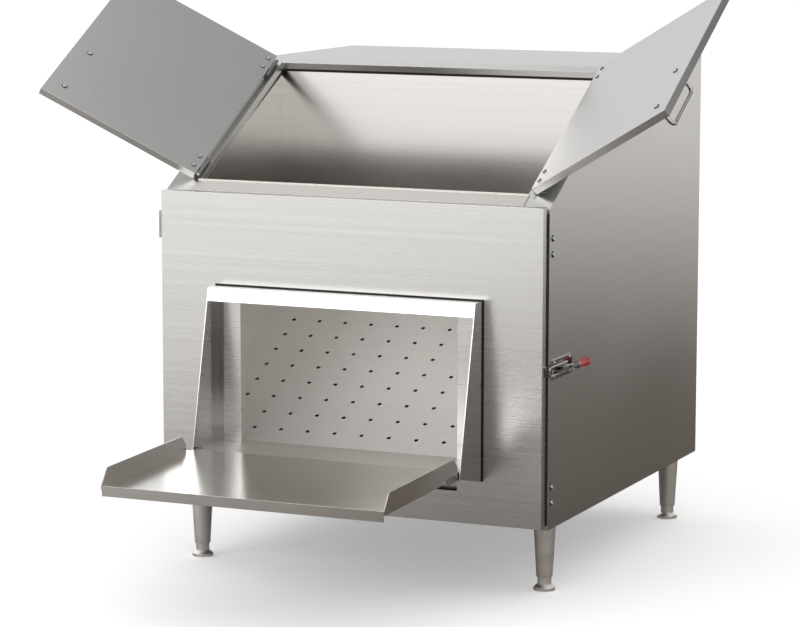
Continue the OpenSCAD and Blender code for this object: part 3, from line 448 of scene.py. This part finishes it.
def bead(name, path, radius, look, body):
    """A round bead along a path in one wall's plane, mitred at its corners and closed at its ends."""
    bm = bmesh.new()
    rows = []
    for i, point in enumerate(path):
        before = (point - path[i - 1]).normalized() if i else None
        after = (path[i + 1] - point).normalized() if i + 1 < len(path) else None
        way = ((before or after) + (after or before)).normalized()
        out = Vector((0, -1, 0))
        across = way.cross(out)
        stretch = 1 / max(SHARPEST, way.dot(before or after))
        rows.append([bm.verts.new(point + radius * (math.cos(a) * out + math.sin(a) * stretch * across))
                     for a in (2 * math.pi * k / BEAD_SIDES for k in range(BEAD_SIDES))])
    for low, high in zip(rows, rows[1:]):
        for k in range(BEAD_SIDES):
            after = (k + 1) % BEAD_SIDES
            bm.faces.new((low[k], high[k], high[after], low[after])).smooth = True
    bm.faces.new(rows[0])
    bm.faces.new(list(reversed(rows[-1])))
    bmesh.ops.recalc_face_normals(bm, faces=bm.faces)
    mesh = bpy.data.meshes.new(name)
    bm.to_mesh(mesh)
    bm.free()
    return made_piece(name, mesh, look, body)


# Painted shade: a black bead that stands for the shadow gap where the hood meets the front panel, open
# along the bottom
BEAD_R = 0.0012
hood_low, hood_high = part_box("hood")
panel_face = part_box("front_panel")[0][1]
bead_y = panel_face - BEAD_R
left, right = hood_low[0] - BEAD_R, hood_high[0] + BEAD_R
low_z, high_z = hood_low[2] + BEAD_R, hood_high[2] + BEAD_R
round_hood = [(left, low_z), (left, high_z), (right, high_z), (right, low_z)]
bead("hood_shade_bead", [Vector((x, bead_y, z)) for x, z in round_hood],
     BEAD_R, "rubber", "front_door")

# Painted shade: a black bead in the gap between the door and the right side panel, standing for the
# shadow in that gap
GAP_SHADE_R = 0.00125
GAP_SHADE_FROM_SIDE = 0.0018
GAP_SHADE_CLEARANCE = 0.0001
GAP_SHADE_FROM_LOW, GAP_SHADE_FROM_HIGH = 0.004, 0.012
side_low, side_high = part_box("side_panel_right")
gap_shade_x = side_high[0] - GAP_SHADE_FROM_SIDE
door_low, door_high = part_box("front_panel")
gap_shade_y = side_low[1] - GAP_SHADE_R - GAP_SHADE_CLEARANCE
gap_shade_ends = (door_low[2] + GAP_SHADE_FROM_LOW, door_high[2] - GAP_SHADE_FROM_HIGH)
bead("door_gap_shade_bead", [Vector((gap_shade_x, gap_shade_y, z)) for z in gap_shade_ends], GAP_SHADE_R, "rubber", "cabinet")


def sheet(name, half_x, half_y, material):
    """A flat stage sheet round its own origin."""
    mesh = bpy.data.meshes.new(name)
    corners = [(-half_x, -half_y, 0), (half_x, -half_y, 0), (half_x, half_y, 0), (-half_x, half_y, 0)]
    mesh.from_pydata(corners, [], [(0, 1, 2, 3)])
    mesh.materials.append(material)
    made = bpy.data.objects.new(name, mesh)
    scene.collection.objects.link(made)
    return made


def only_mirrored(obj):
    """Shows a stage sheet in reflections alone, as a photographer's card out of the picture."""
    obj.visible_camera = False
    obj.visible_diffuse = False
    obj.visible_shadow = False
    obj.visible_transmission = False


def backdrop_share(t):
    """1 for what the camera sees, straight or in metal and glass, and 0 for light on the object."""
    path = t.node("ShaderNodeLightPath")
    first = t.math("MAXIMUM", path.outputs["Is Camera Ray"], path.outputs["Is Glossy Ray"])
    return t.math("MAXIMUM", first, path.outputs["Is Transmission Ray"])


# Glow that lifts the paper's shade to white in the picture
FLOOR_LIFT = 0.32


def floor_paper():
    """White paper that keeps the shadow: a matt surface, lifted to white for the camera."""
    t = Tree("floor_paper")
    shader = t.shade()
    shader["Base Color"].default_value = (0.9, 0.9, 0.9, 1)
    shader["Roughness"].default_value = 0.9
    shader["Specular IOR Level"].default_value = 0.0
    shader["Emission Color"].default_value = (1, 1, 1, 1)
    t.join(t.math("MULTIPLY", backdrop_share(t), FLOOR_LIFT), shader["Emission Strength"])
    return t.material


def card_paper(name, colour, solid, end):
    """Matt grey card, whole up to one distance from its middle and faded out at another."""
    t = Tree(name)
    length = t.node("ShaderNodeVectorMath", operation="LENGTH")
    t.join(t.coords, length.inputs[0])
    fade = t.spread(length.outputs["Value"], 1.0, 0.0, solid, end)
    matt = t.node("ShaderNodeBsdfDiffuse")
    matt.inputs["Color"].default_value = (*colour, 1)
    clear = t.node("ShaderNodeBsdfTransparent")
    mixed = t.node("ShaderNodeMixShader")
    t.join(fade, mixed.inputs[0])
    t.join(clear.outputs[0], mixed.inputs[1])
    t.join(matt.outputs[0], mixed.inputs[2])
    t.join(mixed.outputs[0], t.output.inputs["Surface"])
    return t.material


def card(name, place, colour, solid, end, face=(0, 0, 1)):
    """Sets a grey card out of the picture, turned to face a direction."""
    made = sheet(name, end, end, card_paper(name + "_paper", colour, solid, end))
    made.location = place
    made.rotation_euler = Vector(face).to_track_quat("Z", "Y").to_euler()
    only_mirrored(made)


sheet("floor", 40, 40, floor_paper())

# Each card's place, colour, and the distances up to which it is whole and where it ends
card("front_card", (1.4, -2.4, 0.001), (0.13, 0.11, 0.095), 1.4, 2.6)
card("side_card", (1.0, 1.0, 0.002), (0.17, 0.145, 0.125), 1.2, 8.0)
card("high_card", (0.7, 0.95, 3.4), (0.5, 0.5, 0.49), 0.9, 1.5)
card("tall_card", (2.8, 2.9, 2.9), (0.10, 0.095, 0.09), 1.0, 1.8, (-2.8, -2.9, -1.9))

WORLD_LIGHT = 0.85


def white_world():
    """White to the camera and in reflections, and a little lower as light."""
    world = bpy.data.worlds.new("studio")
    world.use_nodes = True
    tree = world.node_tree
    tree.nodes.clear()
    output = tree.nodes.new("ShaderNodeOutputWorld")
    white = tree.nodes.new("ShaderNodeBackground")
    white.inputs["Color"].default_value = (1, 1, 1, 1)
    path = tree.nodes.new("ShaderNodeLightPath")
    seen = path.outputs["Is Camera Ray"]
    for kind in ("Is Glossy Ray", "Is Transmission Ray"):
        either = tree.nodes.new("ShaderNodeMath")
        either.operation = "MAXIMUM"
        tree.links.new(seen, either.inputs[0])
        tree.links.new(path.outputs[kind], either.inputs[1])
        seen = either.outputs[0]
    strength = tree.nodes.new("ShaderNodeMapRange")
    strength.inputs["To Min"].default_value = WORLD_LIGHT
    strength.inputs["To Max"].default_value = 1.0
    tree.links.new(seen, strength.inputs["Value"])
    tree.links.new(strength.outputs["Result"], white.inputs["Strength"])
    tree.links.new(white.outputs["Background"], output.inputs["Surface"])
    return world


scene.world = white_world()


def softbox(name, place, aim, size, power):
    """A rectangular area lamp that points at a place."""
    data = bpy.data.lights.new(name, "AREA")
    data.shape = "RECTANGLE"
    data.size, data.size_y = size
    data.energy = power
    made = bpy.data.objects.new(name, data)
    scene.collection.objects.link(made)
    made.location = place
    made.rotation_euler = (Vector(aim) - Vector(place)).to_track_quat("-Z", "Y").to_euler()


softbox("front_left_box", (-1.9, -4.0, 2.1), (0, 0, 0.6), (2.6, 1.6), 45)

# Camera of the photograph: its turn, the point it was fitted round, and its distance from there
FOCAL_PX = 3120.97
PICTURE_W = 800
SENSOR = 36
YAW, PITCH, ROLL = map(math.radians, (23.65, 8.28, 0.09))
FITTED_ROUND = Vector((0, -0.012, 0.45))
OFFSET_X, OFFSET_Z, DISTANCE = -0.07911, 0.00279, 6.18239
ahead = Vector((-math.sin(YAW) * math.cos(PITCH), math.cos(YAW) * math.cos(PITCH), -math.sin(PITCH)))
level = Vector((math.cos(YAW), math.sin(YAW), 0))
upright = level.cross(ahead)
picture_x = level * math.cos(ROLL) + upright * math.sin(ROLL)
picture_y = upright * math.cos(ROLL) - level * math.sin(ROLL)
eye = FITTED_ROUND - ahead * DISTANCE + picture_x * OFFSET_X + picture_y * OFFSET_Z
lens = bpy.data.cameras.new("camera")
lens.sensor_width = SENSOR
lens.lens = FOCAL_PX * SENSOR / PICTURE_W
camera = bpy.data.objects.new("camera", lens)
scene.collection.objects.link(camera)
turned = Matrix((picture_x, picture_y, -ahead)).transposed().to_4x4()
camera.matrix_world = Matrix.Translation(eye) @ turned
scene.camera = camera
